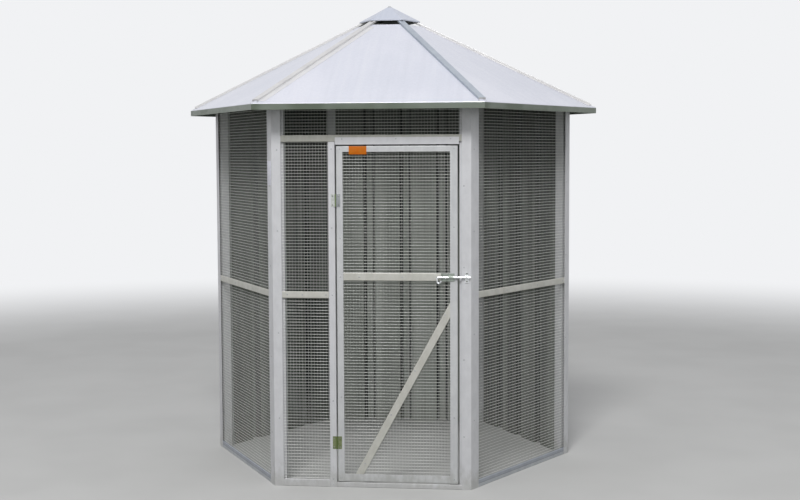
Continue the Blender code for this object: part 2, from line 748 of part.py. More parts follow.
def build_front():
    """Fixed panel, mullion, threshold and head of the door face."""
    panel_right = MULLION_LEFT - FIT
    rail("base_rail_front", 0, 0.0, BASE_RAIL_HEIGHT, -PANEL_END, panel_right, BASE_STEEL)
    rail("mid_rail_front", 0, MID_RAIL_BOTTOM, MID_RAIL_HEIGHT, -PANEL_END, panel_right, RAIL_STEEL)
    rail("door_threshold", 0, 0.0, THRESHOLD_HEIGHT, MULLION_RIGHT + FIT, PANEL_END, BASE_STEEL)
    rail("transom_rail", 0, TRANSOM_BOTTOM, TRANSOM_HEIGHT, -PANEL_END, PANEL_END, RAIL_STEEL)
    mullion()
    head_strip()
    wire_net(
        "mesh_front", 0, -PANEL_END, MULLION_RIGHT, MESH_RAISE, MESH_JOINT - FIT, WIRE_STEEL
    )
    wire_net(
        "mesh_transom", 0, -PANEL_END, PANEL_END, MESH_JOINT + FIT, POST_HEIGHT - MESH_RAISE, WIRE_STEEL
    )


def build_roof():
    """Roof sheets, ridge flashings and the vent cap with its bolt."""
    for face, name in enumerate(FACES):
        roof_sheet(f"roof_sheet_{name}", face)
    for index, name in enumerate(POSTS):
        ridge_flashing(f"ridge_flashing_{name}", index)
    vent_cap()
    cap_bolt()


def build_door():
    """Door frame, its hinges and the sliding bolt."""
    left, right = door_clear_width()
    low = DOOR_FOOT + SHEET + FIT
    high = DOOR_TOP - SHEET - FIT
    upper = DOOR_TOP - UPPER_HINGE_DROP - HINGE_HEIGHT / 2
    lower = DOOR_FOOT + LOWER_HINGE_RISE - HINGE_HEIGHT / 2
    hinge_leaf("hinge_upper_frame_leaf", -1, upper, (0, 2))
    hinge_leaf("hinge_lower_frame_leaf", -1, lower, (0, 2))
    bolt_keeper()
    door = [
        stile("door_hinge_stile", DOOR_LEFT, HINGE_STILE_WIDTH, 1),
        stile("door_latch_stile", DOOR_RIGHT, LATCH_STILE_WIDTH, -1),
        door_rail("door_top_rail", DOOR_TOP, DOOR_TOP_HEIGHT, -1),
        door_rail("door_bottom_rail", DOOR_FOOT, DOOR_BOTTOM_HEIGHT, 1),
        door_mid_rail(),
        door_brace(),
        wire_net("door_mesh", 0, left, right, low, high, WIRE_STEEL),
        *hinge_leaf("hinge_upper_door_leaf", 1, upper, (1,)),
        *hinge_leaf("hinge_lower_door_leaf", 1, lower, (1,)),
        *bolt_plate(),
    ]
    pivot = axis_empty("door_hinge_axis", HINGE_AXIS)
    hang(door, pivot, HINGE_AXIS)
    rod_place = Vector((ROD_END, ROD_DEPTH - WALL, ROD_Z))
    line = axis_empty("bolt_axis", rod_place)
    hang([line], pivot, HINGE_AXIS)
    hang([bolt_rod()], line, rod_place)


def build():
    """Clears the scene and builds every piece of the aviary."""
    for obj in list(bpy.data.objects):
        bpy.data.objects.remove(obj, do_unlink=True)
    build_walls()
    build_front()
    build_roof()
    build_door()


build()
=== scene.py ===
"""Looks of the hexagonal aviary: true wire spacing in its panels, rivets and screws, legs
and tabs of the ridge flashings, two blank labels, and a finish for each kind of steel.
Metres, +Z up, door towards -Y.

Wall pieces are worked out on the front face and turned about +Z in steps of 60 degrees,
as the walls themselves are.
"""

import math

import bpy
import numpy as np
from mathutils import Matrix, Vector


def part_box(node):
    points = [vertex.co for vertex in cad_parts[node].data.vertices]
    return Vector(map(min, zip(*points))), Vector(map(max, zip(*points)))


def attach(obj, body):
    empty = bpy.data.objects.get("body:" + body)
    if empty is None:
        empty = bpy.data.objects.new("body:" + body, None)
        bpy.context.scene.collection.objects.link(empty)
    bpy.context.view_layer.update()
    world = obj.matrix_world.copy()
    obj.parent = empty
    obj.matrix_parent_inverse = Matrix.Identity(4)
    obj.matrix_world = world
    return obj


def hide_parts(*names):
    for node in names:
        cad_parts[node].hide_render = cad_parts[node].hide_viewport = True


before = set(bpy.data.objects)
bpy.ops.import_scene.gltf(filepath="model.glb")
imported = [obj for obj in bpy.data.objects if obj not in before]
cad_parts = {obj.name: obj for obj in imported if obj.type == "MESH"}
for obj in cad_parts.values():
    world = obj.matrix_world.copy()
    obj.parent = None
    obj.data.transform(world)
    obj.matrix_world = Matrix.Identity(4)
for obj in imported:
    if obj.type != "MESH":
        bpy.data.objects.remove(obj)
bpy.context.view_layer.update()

MM = 0.001

# Plan of the walls, read from the frame
WALL = -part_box("post_front_right")[0].y  # centre to the outer plane of the front face
HALF = WALL / math.cos(math.pi / 6) / 2  # half of a wall's width
FACES = ("front", "front_right", "back_right", "back", "back_left", "front_left")

# Welded wire: half inch squares, level wires outside, thinner upright wires behind them
WIRE_PITCH = 12.7 * MM
LEVEL_RADIUS = 0.80 * MM
UPRIGHT_RADIUS = 0.45 * MM
WIRE_SINK = 0.45 * MM  # crossing wires run into each other at a weld and its zinc
WIRE_SIDES = 6
WIRE_WANDER = 0.20 * MM  # sideways wander of one wire
WIRE_PROUD = 0.25 * MM  # how far the level wires stand in front of the coarse net's bars
PANEL_BULGE = 3.0 * MM  # how far a panel bellies inwards between its rails
FLAT_EDGE = 37.0 * MM  # the edge that a post's slot or a stile holds flat

# Roof and hinges, as in the frame
FASCIA = 25.7 * MM  # height of the eave's turned-down edge
EAVE_EDGE = 1.6032  # height at which the roof's slope turns down into the fascia
HIP_SLOPE = 0.477  # fall of the roof along a hip
PIN_X = -147.0 * MM  # the hinges' pins


def linear(code):
    """sRGB hex to linear RGBA: c / 12.92 below 0.04045, else ((c + 0.055) / 1.055) ^ 2.4."""
    channels = [int(code[i : i + 2], 16) / 255 for i in (1, 3, 5)]
    light = [c / 12.92 if c <= 0.04045 else ((c + 0.055) / 1.055) ** 2.4 for c in channels]
    return (*light, 1.0)


# Meshes


def mesh_object(name, points, face_sets, smooth_angle):
    """Object from an array of points and arrays of faces with equal corner counts.
    Its volume is the sum over faces of p0 . (p1 x p2) / 6 on a fan of triangles, and the
    faces are turned round when that sum is negative, so they always point outwards."""
    points = np.asarray(points, float).reshape(-1, 3)
    volume = 0.0
    for faces in face_sets:
        first = points[faces[:, 0]]
        for corner in range(1, faces.shape[1] - 1):
            across = np.cross(points[faces[:, corner]], points[faces[:, corner + 1]])
            volume += float((first * across).sum())
    if volume < 0:
        face_sets = [faces[:, ::-1] for faces in face_sets]
    corners = np.concatenate([faces.ravel() for faces in face_sets]).astype(np.int32)
    totals = np.concatenate([np.full(len(faces), faces.shape[1]) for faces in face_sets])
    starts = np.concatenate([[0], np.cumsum(totals)[:-1]]).astype(np.int32)
    mesh = bpy.data.meshes.new(name)
    mesh.vertices.add(len(points))
    mesh.vertices.foreach_set("co", points.astype(np.float32).ravel())
    mesh.loops.add(len(corners))
    mesh.loops.foreach_set("vertex_index", corners)
    mesh.polygons.add(len(starts))
    mesh.polygons.foreach_set("loop_start", starts)
    mesh.update(calc_edges=True)
    mesh.shade_smooth()
    mesh.set_sharp_from_angle(angle=math.radians(smooth_angle))
    obj = bpy.data.objects.new(name, mesh)
    bpy.context.scene.collection.objects.link(obj)
    return obj


def ring_faces(shape):
    """Faces of closed forms whose points are numbered as (form, ring, side): quads
    (r, s), (r, s+1), (r+1, s+1), (r+1, s) between rings and one flat cap at each end."""
    forms, rings, sides = shape
    index = np.arange(forms * rings * sides).reshape(forms, rings, sides)
    here, ahead = index[:, :-1], index[:, 1:]
    quads = np.stack([here, np.roll(here, -1, 2), np.roll(ahead, -1, 2), ahead], -1)
    return [quads.reshape(-1, 4), index[:, 0, ::-1].copy(), index[:, -1].copy()]


def turned(points, face):
    """Points of the front face turned by face * 60 degrees about +Z."""
    angle = face * math.pi / 3
    cosine, sine = math.cos(angle), math.sin(angle)
    turn = np.array([[cosine, -sine, 0], [sine, cosine, 0], [0, 0, 1]])
    return np.asarray(points, float) @ turn.T


def wires(centres, across, radius):
    """Round wires: P(w, n, s) = C(w, n) + radius (cos a_s A + sin a_s B), with C the
    centre lines, A and B two axes square to the wire and a_s the angles of the sides."""
    angle = 2 * math.pi * (np.arange(WIRE_SIDES) + 0.5) / WIRE_SIDES
    side = np.outer(np.cos(angle), across[0]) + np.outer(np.sin(angle), across[1])
    return centres[:, :, None, :] + radius * side[None, None]


def belly(u, v, seed):
    """How far a panel bellies inwards at u, v in 0..1 across and up it:
    sin(pi u) sin(pi v) (0.6 + 0.4 sin(5 u + 3 v + seed)), zero at its frame."""
    window = np.sin(math.pi * u) * np.sin(math.pi * v)
    return PANEL_BULGE * window * (0.6 + 0.4 * np.sin(5 * u + 3 * v + seed))


def wire_panel(name, face, body, rest_levels, seed, level_painted_light_zinc, upright_painted_shade_zinc):
    """Welded panel in place of the coarse net of the same name. Upright wires stand at
    x_i = x0 + i pitch and level wires at z_j = z0 + j pitch, one layer behind the other,
    each with a sideways wander a sin(2 pi t / w + p) of its own. The panel lies flat at
    the rest levels, where rails hold it, and bellies inwards between them."""
    # a side's net stands askew to x, so its width is read from the transom's, which is equal
    low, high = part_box("mesh_transom" if face else name)
    left, right, front = low.x, high.x, low.y
    bottom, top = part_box(name)[0].z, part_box(name)[1].z
    random = np.random.default_rng(seed)
    level_y = front + LEVEL_RADIUS - WIRE_PROUD
    upright_y = level_y + LEVEL_RADIUS + UPRIGHT_RADIUS - WIRE_SINK
    bounds = [bottom, *rest_levels, top]

    def inward(x, z):
        u = np.clip((x - left - FLAT_EDGE) / (right - left - 2 * FLAT_EDGE), 0, 1)
        shift = 0.0
        for lower, upper in zip(bounds, bounds[1:]):
            v = np.clip((z - lower) / (upper - lower), 0, 1)
            shift = shift + belly(u, v, seed)
        return shift

    def line(count, start, low_end, high_end, samples):
        along = np.linspace(low_end, high_end, samples)
        place = start + WIRE_PITCH * np.arange(count)
        wave = random.uniform(0.35, 1.1, count)[:, None]
        phase = random.uniform(0, 2 * math.pi, count)[:, None]
        wander = WIRE_WANDER * np.sin(2 * math.pi * along[None] / wave + phase)
        return place[:, None] + wander, np.broadcast_to(along, wander.shape)

    columns = int((right - left) / WIRE_PITCH)
    rows = int((top - bottom) / WIRE_PITCH)
    x, z = line(columns + 1, left + (right - left - columns * WIRE_PITCH) / 2, bottom, top, 11)
    uprights = wires(
        np.stack([x, upright_y + inward(x, z), z], -1), ((1, 0, 0), (0, 1, 0)), UPRIGHT_RADIUS
    )
    z, x = line(rows + 1, bottom + (top - bottom - rows * WIRE_PITCH) / 2, left, right, 9)
    levels = wires(
        np.stack([x, level_y + inward(x, z), z], -1), ((0, 1, 0), (0, 0, 1)), LEVEL_RADIUS
    )
    layers = (("upright", uprights, upright_painted_shade_zinc), ("level", levels, level_painted_light_zinc))
    for layer, centres, material in layers:
        points = turned(centres.reshape(-1, 3), face)
        piece = mesh_object(f"wires_{layer}_{name}", points, ring_faces(centres.shape[:3]), 70)
        finish(piece, material, body)
        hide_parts(name)


def studs(name, places, normals, profile, sides=12):
    """Round heads on flat faces: P(k, i, s) = O_k + r_i(a_s) (cos a_s T_k + sin a_s B_k)
    + h_i N_k, with N_k the face's normal, T_k and B_k in the face, and a profile of
    (r, h, star) where star > 0 draws r in to r (1 + star cos 4a), a cross for a driver."""
    places = np.asarray(places, float)
    normals = np.asarray(normals, float)
    up = np.where(np.abs(normals[:, 2:]) > 0.9, [[1.0, 0, 0]], [[0, 0, 1.0]])
    first = np.cross(up, normals)
    first /= np.linalg.norm(first, axis=1, keepdims=True)
    second = np.cross(normals, first)
    angle = 2 * math.pi * np.arange(sides) / sides
    radius, height, star = np.array(profile, float).T
    reach = radius[:, None] * (1 + star[:, None] * np.cos(4 * angle)[None])
    points = (
        places[:, None, None, :]
        + (reach * np.cos(angle))[None, :, :, None] * first[:, None, None, :]
        + (reach * np.sin(angle))[None, :, :, None] * second[:, None, None, :]
        + height[None, :, None, None] * normals[:, None, None, :]
    )
    return mesh_object(name, points, ring_faces(points.shape[:3]), 50)


def rounded_outline(width, height, radius, steps=4):
    """Corners of a rectangle as quarter circles: c_q + radius (cos a, sin a), a in the
    quadrant q, counter-clockwise from the right-hand bottom corner."""
    angles = np.linspace(0, math.pi / 2, steps + 1)
    signs = ((1, -1, -0.5), (1, 1, 0.0), (-1, 1, 0.5), (-1, -1, 1.0))
    runs = []
    for sx, sy, start in signs:
        turn = angles + start * math.pi
        x = sx * (width / 2 - radius) + radius * np.cos(turn)
        y = sy * (height / 2 - radius) + radius * np.sin(turn)
        runs.append(np.stack([x, y], -1))
    return np.concatenate(runs)


def label(name, centre, across, up, width, height, material, body):
    """Thin sheet with rounded corners, laid on a face: rings of the rounded outline at the
    face, at the film's thickness, and drawn in by a tenth of a millimetre at its edge."""
    across, up = np.array(across, float), np.array(up, float)
    out = np.cross(across, up)
    levels = ((0.0, 0.02 * MM), (0.0, 0.16 * MM), (0.1 * MM, 0.20 * MM))
    rings = []
    for inset, lift in levels:
        flat = rounded_outline(width - 2 * inset, height - 2 * inset, 1.5 * MM - inset)
        rings.append(np.array(centre) + flat[:, :1] * across + flat[:, 1:] * up + lift * out)
    points = np.array(rings)[None]
    piece = mesh_object(name, points, ring_faces(points.shape[:3]), 30)
    finish(piece, material, body)


def finish(piece, material, body):
    """Gives a new piece its material and its body."""
    piece.data.materials.clear()
    piece.data.materials.append(material)
    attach(piece, body)


# Materials


def add_node(tree, kind, inputs=None, **settings):
    """Adds one node: settings are its properties, inputs its sockets' values or links."""
    node = tree.nodes.new(kind)
    for key, value in settings.items():
        setattr(node, key, value)
    for key, value in (inputs or {}).items():
        socket = node.inputs[key]
        if isinstance(value, bpy.types.NodeSocket):
            tree.links.new(value, socket)
        else:
            socket.default_value = value
    return node


def new_material(name, **sockets):
    """Principled material with plain values set on its own sockets."""
    material = bpy.data.materials.new(name)
    material.use_nodes = True
    shader = material.node_tree.nodes["Principled BSDF"]
    for key, value in sockets.items():
        shader.inputs[key.replace("_", " ")].default_value = value
    return material, material.node_tree, shader


def noise(tree, place, scale, detail=3.0, roughness=0.5):
    """Value in 0..1 of a cloudy pattern, scale in cycles per metre for each axis."""
    stretched = add_node(
        tree, "ShaderNodeMapping", {"Vector": place, "Scale": scale}, vector_type="POINT"
    )
    inputs = {
        "Vector": stretched.outputs["Vector"],
        "Scale": 1.0,
        "Detail": detail,
        "Roughness": roughness,
    }
    return add_node(tree, "ShaderNodeTexNoise", inputs).outputs["Fac"]


def span(tree, value, low, high, out_low=0.0, out_high=1.0):
    """Maps low..high of a value to out_low..out_high, smoothly and clamped."""
    ranged = add_node(
        tree,
        "ShaderNodeMapRange",
        {"Value": value, "From Min": low, "From Max": high, "To Min": out_low, "To Max": out_high},
        interpolation_type="SMOOTHSTEP",
    )
    return ranged.outputs["Result"]


def blend_colour(tree, share, first, second):
    """Mixes two colours, each a socket or a hex code, by a share. The node's inputs 6 and
    7 and its output 2 are its colours."""
    mixed = add_node(tree, "ShaderNodeMix", data_type="RGBA", blend_type="MIX")
    for index, colour in ((6, first), (7, second)):
        if isinstance(colour, str):
            mixed.inputs[index].default_value = linear(colour)
        else:
            tree.links.new(colour, mixed.inputs[index])
    if isinstance(share, bpy.types.NodeSocket):
        tree.links.new(share, mixed.inputs[0])
    else:
        mixed.inputs[0].default_value = share
    return mixed.outputs[2]


def object_place(tree, turn=0.0):
    """Object coordinates in metres, turned back about +Z so that x runs along a face."""
    place = add_node(tree, "ShaderNodeTexCoord").outputs["Object"]
    if not turn:
        return place
    inputs = {"Vector": place, "Rotation": (0.0, 0.0, -turn)}
    return add_node(tree, "ShaderNodeMapping", inputs, vector_type="POINT").outputs["Vector"]


def height_of(tree, place):
    """The z of a place."""
    return add_node(tree, "ShaderNodeSeparateXYZ", {"Vector": place}).outputs["Z"]


def bumped(tree, shader, fine, strength, distance):
    """Sends a value to the shader's normal as a bump of a real depth in metres."""
    bump = add_node(
        tree, "ShaderNodeBump", {"Height": fine, "Strength": strength, "Distance": distance}
    )
    tree.links.new(bump.outputs["Normal"], shader.inputs["Normal"])


def folded_steel(name, pale, dark):
    """Zinc-coated strip, roll formed and folded. Zinc mottles in patches of about 40 mm,
    rollers leave faint lines along the length, and rain throws soil on the foot."""
    material, tree, shader = new_material(name, Metallic=0.20, Specular_IOR_Level=0.4)
    place = object_place(tree)
    mottle = noise(tree, place, (25.0, 25.0, 14.0), 4.0, 0.6)
    rolled = noise(tree, place, (420.0, 420.0, 1.2), 2.0)
    patches = noise(tree, place, (4.0, 4.0, 1.6), 2.0)
    scuffs = noise(tree, place, (60.0, 60.0, 9.0), 5.0, 0.7)
    colour = blend_colour(tree, span(tree, mottle, 0.30, 0.72), dark, pale)
    colour = blend_colour(tree, span(tree, patches, 0.35, 0.75, 0.0, 0.25), colour, dark)
    colour = blend_colour(tree, span(tree, rolled, 0.50, 0.80, 0.0, 0.15), colour, "#E2E3E5")
    colour = blend_colour(tree, span(tree, scuffs, 0.66, 0.80, 0.0, 0.22), colour, "#97999C")
    z = height_of(tree, place)
    shift = span(tree, mottle, 0.2, 0.8, -0.05, 0.05)
    ragged = add_node(tree, "ShaderNodeMath", {0: z, 1: shift}, operation="ADD")
    foot = span(tree, ragged.outputs["Value"], 0.0, 0.10, 0.28, 0.0)
    colour = blend_colour(tree, foot, colour, "#8C8B78")
    tree.links.new(colour, shader.inputs["Base Color"])
    gloss = span(tree, mottle, 0.25, 0.75, 0.53, 0.41)
    tree.links.new(gloss, shader.inputs["Roughness"])
    bumped(tree, shader, rolled, 0.25, 0.0004)
    return material


def roof_steel(name, turn, pale="#D9DAE3", dark="#D0D2DC", edge=EAVE_EDGE):
    """Aluminium-zinc sheet, cut and folded by hand. It stays bright on the slope, with
    slight dents about 250 mm long, rain streaks down the fall and a coarse frosted grain
    of 6 mm, drawn larger than the real 1 mm so that it shows; the turned-down fascia is
    painted darker and greenish, a painted reflection of the ground, with lighter patches
    that are painted highlights, and faces that look downwards are painted dark, painted shade."""
    material, tree, shader = new_material(name, Metallic=0.30, Specular_IOR_Level=0.45)
    place = object_place(tree, turn)
    grain = add_node(
        tree, "ShaderNodeTexVoronoi", {"Vector": place, "Scale": 1 / (6 * MM)}, feature="F1"
    ).outputs["Color"]
    grain = add_node(tree, "ShaderNodeSeparateColor", {"Color": grain}).outputs["Red"]
    streaks = noise(tree, place, (38.0, 1.5, 1.5), 3.0)
    clouds = noise(tree, place, (3.0, 2.0, 2.0), 3.0)
    dents = noise(tree, place, (4.0, 2.6, 2.6), 2.0)
    colour = blend_colour(tree, span(tree, clouds, 0.3, 0.7), pale, dark)
    colour = blend_colour(tree, span(tree, streaks, 0.45, 0.8, 0.0, 0.30), colour, "#E0E1E6")
    colour = blend_colour(tree, span(tree, streaks, 0.50, 0.25, 0.0, 0.12), colour, "#B9BCC4")
    colour = blend_colour(tree, span(tree, grain, 0.0, 1.0, 0.0, 0.06), colour, "#AAAEB9")
    z = height_of(tree, place)
    # fascia below the eave edge: greenish grey as a painted reflection of the ground, lighter
    # patches as painted highlights
    patches = span(tree, dents, 0.50, 0.64, 0.0, 0.5)
    fascia_painted_reflection = blend_colour(tree, patches, "#5F695B", "#8F968E")
    colour = blend_colour(tree, span(tree, z, edge + 0.001, edge - 0.001), colour, fascia_painted_reflection)
    # faces that look downwards are darkened: painted shade under the roof
    underside_painted_shade = span(tree, facing(tree, (0.0, 0.0, 1.0)), -0.2, -0.4)
    colour = blend_colour(tree, underside_painted_shade, colour, "#5A5F5E")
    tree.links.new(colour, shader.inputs["Base Color"])
    gloss = span(tree, grain, 0.0, 1.0, 0.34, 0.44)
    tree.links.new(gloss, shader.inputs["Roughness"])
    bumped(tree, shader, dents, 0.35, 0.006)
    return material


def ridge_steel(name, pale, dark):
    """Aluminium-zinc strip folded to a channel: brighter on its top, with handling marks
    every few centimetres."""
    material, tree, shader = new_material(name, Metallic=0.45, Specular_IOR_Level=0.45)
    place = object_place(tree)
    marks = noise(tree, place, (14.0, 14.0, 14.0), 3.0, 0.6)
    colour = blend_colour(tree, span(tree, marks, 0.3, 0.7), dark, pale)
    tree.links.new(colour, shader.inputs["Base Color"])
    tree.links.new(span(tree, marks, 0.3, 0.7, 0.46, 0.34), shader.inputs["Roughness"])
    return material


def facing(tree, direction):
    """How much a surface faces a fixed direction: its flat normal . the direction."""
    normal = add_node(tree, "ShaderNodeNewGeometry").outputs["True Normal"]
    product = add_node(
        tree, "ShaderNodeVectorMath", {0: normal, 1: direction}, operation="DOT_PRODUCT"
    )
    return product.outputs["Value"]


def wall_steel(name, turn, dull, clean):
    """Roll-formed wall sheet. Outside, rain keeps it clean, with faint runs 20 to 60 mm
    wide. Inside it is dull in upright bands about 70 mm wide, darkened towards the roof as
    painted shade, and the flanks of its ribs are painted dark, painted shade."""
    material, tree, shader = new_material(name, Metallic=0.35, Specular_IOR_Level=0.3)
    place = object_place(tree, turn)
    streaks = noise(tree, place, (26.0, 26.0, 1.1), 4.0, 0.6)
    bands = noise(tree, place, (7.0, 7.0, 0.3), 1.0)
    dust = noise(tree, place, (8.0, 8.0, 5.0), 4.0, 0.6)
    z = height_of(tree, place)
    inner = blend_colour(tree, span(tree, bands, 0.42, 0.60), dull, clean)
    inner = blend_colour(tree, span(tree, streaks, 0.40, 0.75, 0.0, 0.35), inner, "#84887F")
    # darker towards the roof: painted shade under the eaves
    inner = blend_colour(tree, span(tree, z, 1.08, 1.46, 0.0, 0.85), inner, "#333733")
    outward = facing(tree, (math.sin(turn), -math.cos(turn), 0.0))
    # flanks of the ribs seen from inside are painted dark: painted shade in the ribs
    rib_flank_painted_shade = span(tree, outward, -0.85, -0.55, 0.0, 0.92)
    inner = blend_colour(tree, rib_flank_painted_shade, inner, "#252A28")
    outer = blend_colour(tree, span(tree, streaks, 0.3, 0.7), "#B4B7BC", "#C8CACE")
    colour = blend_colour(tree, span(tree, outward, -0.1, 0.1), inner, outer)
    colour = blend_colour(tree, span(tree, z, 0.0, 0.18, 0.3, 0.0), colour, "#77766A")
    tree.links.new(colour, shader.inputs["Base Color"])
    tree.links.new(span(tree, dust, 0.3, 0.7, 0.42, 0.58), shader.inputs["Roughness"])
    return material


def wire_zinc(name, dull, bright, metallic):
    """Drawn wire, welded and then dipped in zinc: a bright coat that freezes in beads, so
    its shine changes every few millimetres, with dull oxide in patches. The level wires get
    near-white colours, painted light, and the upright ones behind them duller ones, painted shade."""
    material, tree, shader = new_material(name, Metallic=metallic, Specular_IOR_Level=0.5)
    place = object_place(tree)
    beads = noise(tree, place, (180.0, 180.0, 180.0), 2.0)
    oxide = noise(tree, place, (7.0, 7.0, 7.0), 3.0)
    colour = blend_colour(tree, span(tree, beads, 0.3, 0.7), dull, bright)
    colour = blend_colour(tree, span(tree, oxide, 0.50, 0.80, 0.0, 0.25), colour, "#A9ACA5")
    tree.links.new(colour, shader.inputs["Base Color"])
    tree.links.new(span(tree, beads, 0.3, 0.7, 0.48, 0.30), shader.inputs["Roughness"])
    return material


def base_steel(name):
    """Galvanised base rail. It is clean and bluish, with pin-head bare spots every 9 mm or
    so; above half way up it is darker, with a thin dark line at that height, both painted
    shade of a set-back ledge."""
    material, tree, shader = new_material(name, Metallic=0.20, Specular_IOR_Level=0.4)
    place = object_place(tree)
    mottle = noise(tree, place, (20.0, 20.0, 20.0), 3.0, 0.6)
    spots = noise(tree, place, (110.0, 110.0, 110.0), 2.0)
    z = height_of(tree, place)
    low = blend_colour(tree, span(tree, mottle, 0.3, 0.7), "#B9BCC1", "#C3C6CA")
    high = blend_colour(tree, span(tree, mottle, 0.3, 0.7), "#A5A9B2", "#AFB3BB")
    # darker upper band and dark line at 16 mm: painted shade of a set-back ledge
    colour = blend_colour(tree, span(tree, z, 15.0 * MM, 17.0 * MM), low, high)
    ledge_shade_offset = add_node(tree, "ShaderNodeMath", {0: z, 1: 16.0 * MM}, operation="SUBTRACT")
    ledge_shade_offset = add_node(tree, "ShaderNodeMath", {0: ledge_shade_offset.outputs["Value"]}, operation="ABSOLUTE")
    line = span(tree, ledge_shade_offset.outputs["Value"], 2.4 * MM, 0.8 * MM, 0.0, 0.55)
    colour = blend_colour(tree, line, colour, "#777B86")
    colour = blend_colour(tree, span(tree, spots, 0.62, 0.72, 0.0, 0.35), colour, "#7D8290")
    tree.links.new(colour, shader.inputs["Base Color"])
    tree.links.new(span(tree, mottle, 0.3, 0.7, 0.52, 0.42), shader.inputs["Roughness"])
    return material


def plated_zinc(name, pale, dark, roughness, knuckle_painted_reflection=None):
    """Small stampings plated with zinc and passivated, which leaves a bright coat with
    cloudy bands of the passive film. A knuckle colour tints what lies within a knuckle's
    radius of the hinges' pins olive: a painted reflection of the ground."""
    material, tree, shader = new_material(name, Metallic=0.9)
    place = object_place(tree)
    film = noise(tree, place, (45.0, 45.0, 45.0), 3.0, 0.6)
    colour = blend_colour(tree, span(tree, film, 0.3, 0.7), dark, pale)
    # olive near the pins: painted reflection of the ground
    if knuckle_painted_reflection:
        x = add_node(tree, "ShaderNodeSeparateXYZ", {"Vector": place}).outputs["X"]
        off = add_node(tree, "ShaderNodeMath", {0: x, 1: PIN_X}, operation="SUBTRACT")
        off = add_node(tree, "ShaderNodeMath", {0: off.outputs["Value"]}, operation="ABSOLUTE")
        near = span(tree, off.outputs["Value"], 3.6 * MM, 2.6 * MM)
        colour = blend_colour(tree, near, colour, knuckle_painted_reflection)
    tree.links.new(colour, shader.inputs["Base Color"])
    gloss = span(tree, film, 0.3, 0.7, roughness + 0.12, roughness)
    tree.links.new(gloss, shader.inputs["Roughness"])
    return material


def rivet_aluminium(name):
    """Drawn aluminium of blind rivets, dulled by weather, with grime in the dimple."""
    material, tree, shader = new_material(name, Metallic=0.7)
    place = object_place(tree)
    grime = noise(tree, place, (400.0, 400.0, 400.0), 2.0)
    colour = blend_colour(tree, span(tree, grime, 0.35, 0.7), "#A9ABAD", "#CDCFD1")
    tree.links.new(colour, shader.inputs["Base Color"])
    tree.links.new(span(tree, grime, 0.3, 0.7, 0.55, 0.35), shader.inputs["Roughness"])
    return material


def label_vinyl(name, colour_code, worn):
    """Blank vinyl film, cast smooth and faded a little in patches of 10 mm by the sun."""
    material, tree, shader = new_material(
        name, Specular_IOR_Level=0.25, Coat_Weight=0.08, Coat_Roughness=0.3
    )
    place = object_place(tree)
    fade = noise(tree, place, (100.0, 100.0, 100.0), 3.0)
    colour = blend_colour(tree, span(tree, fade, 0.35, 0.75), colour_code, worn)
    tree.links.new(colour, shader.inputs["Base Color"])
    tree.links.new(span(tree, fade, 0.3, 0.7, 0.32, 0.45), shader.inputs["Roughness"])
    return material


# inside tones of the ribbed walls: the back_right and back_left ones are darker than the back one,
# painted shade
WALL_INSIDE_PAINTED_SHADES = {  # dull and clean bands inside each ribbed wall
    "back": ("#ABAFA7", "#C7CBC3"),
    "back_right": ("#5A5F59", "#A5AAA2"),
    "back_left": ("#555A54", "#868B84"),
}


